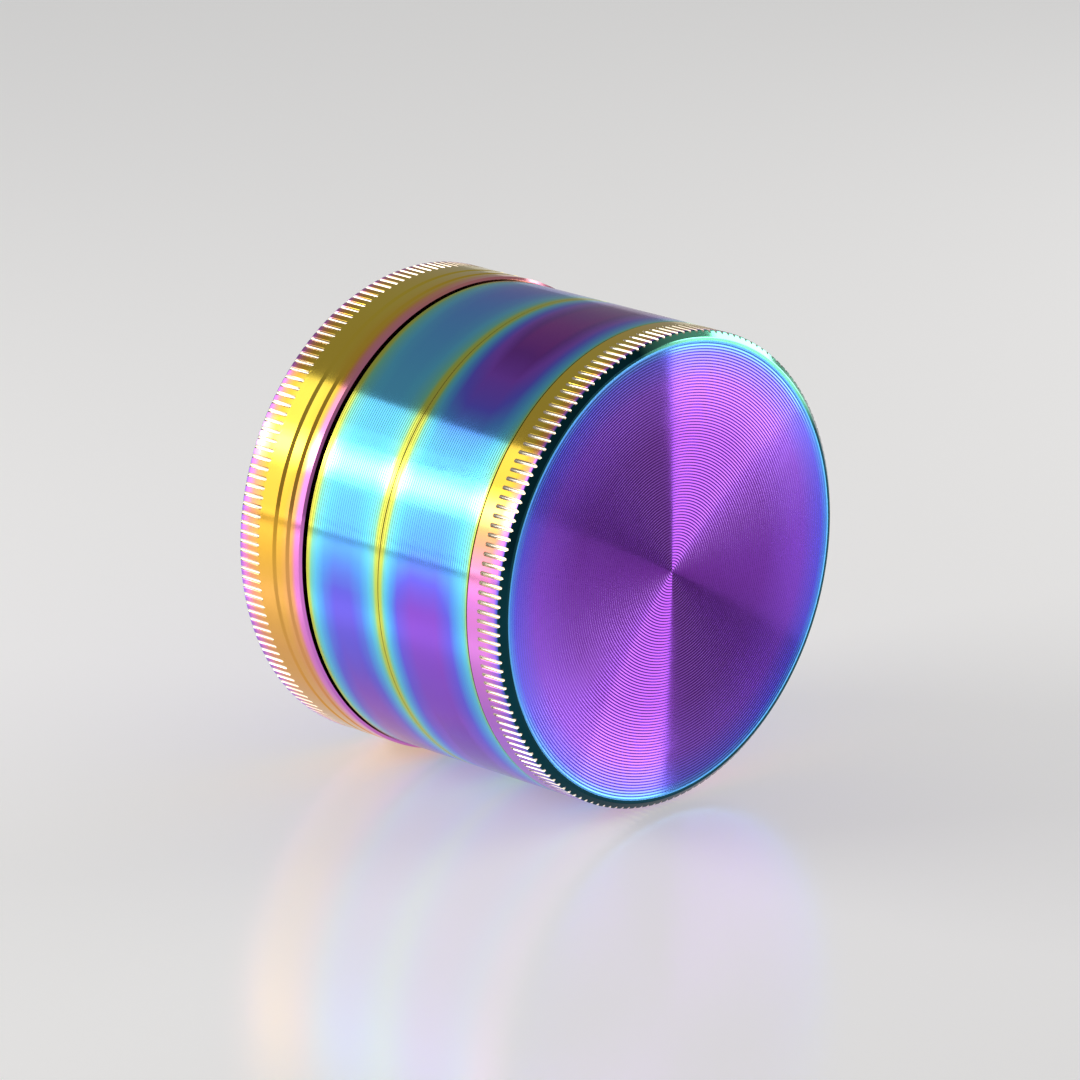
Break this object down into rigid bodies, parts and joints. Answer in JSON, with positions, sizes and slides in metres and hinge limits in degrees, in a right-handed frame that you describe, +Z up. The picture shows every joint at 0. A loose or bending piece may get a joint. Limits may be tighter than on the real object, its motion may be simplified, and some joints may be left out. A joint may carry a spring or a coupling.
{
  "type": "herb grinder",
  "caption": "Round stacked hand grinder for herbs and spices: a turning lid over interlocking teeth, a sieve chamber and a screw-on tray, in rainbow-coated metal.",
  "frame": {"origin": "centre of the foot, on the surface that the grinder stands on", "axes": "+Z up along the grinder's axis, from the foot to the lid; +X through a gap between the teeth"},
  "size_m": [0.063, 0.063, 0.047],
  "materials": {
    "rainbow_coated_zinc": "polished casting with a vapour-deposited rainbow coating, purple and blue with gold rims",
    "nickel_plate": "bright nickel plate",
    "white_nylon": "moulded, satin",
    "steel_wire_cloth": "woven stainless wire",
    "bare_steel": "rolled sheet, bare"
  },
  "bodies": {
    "tray": {"base_tray": "rainbow_coated_zinc", "scraper": "bare_steel"},
    "screen_ring": {"screen_ring": "bare_steel"},
    "sieve_section": {"sieve_chamber": "rainbow_coated_zinc", "sieve_screen": "steel_wire_cloth"},
    "chamber_magnet": {"chamber_magnet": "nickel_plate"},
    "grinding_section": {"grinding_chamber": "rainbow_coated_zinc"},
    "friction_ring": {"friction_ring": "white_nylon"},
    "lid_section": {"lid": "rainbow_coated_zinc", "lid_magnet": "nickel_plate"}
  },
  "joints": [
    {"name": "sieve_rise", "type": "slide", "parent": "tray", "child": "screen_ring", "axis": [0, 0, 1], "range_m": [0, 0.00226]},
    {"name": "sieve_unscrew", "type": "hinge", "parent": "screen_ring", "child": "sieve_section", "pos_m": [0, 0, 0], "axis": [0, 0, 1], "range_deg": [0, 540]},
    {"name": "chamber_rise", "type": "slide", "parent": "sieve_section", "child": "chamber_magnet", "axis": [0, 0, 1], "range_m": [0, 0.00226]},
    {"name": "chamber_unscrew", "type": "hinge", "parent": "chamber_magnet", "child": "grinding_section", "pos_m": [0, 0, 0], "axis": [0, 0, 1], "range_deg": [0, 540]},
    {"name": "lid_lift", "type": "slide", "parent": "grinding_section", "child": "friction_ring", "axis": [0, 0, 1], "range_m": [0, 0.04]},
    {"name": "lid_turn", "type": "hinge", "parent": "friction_ring", "child": "lid_section", "pos_m": [0, 0, 0], "axis": [0, 0, 1], "continuous": true}
  ],
  "couplings": [
    {"joint": "sieve_rise", "follows": "sieve_unscrew", "m_per_rad": 0.00023873},
    {"joint": "chamber_rise", "follows": "chamber_unscrew", "m_per_rad": 0.00023873}
  ]
}
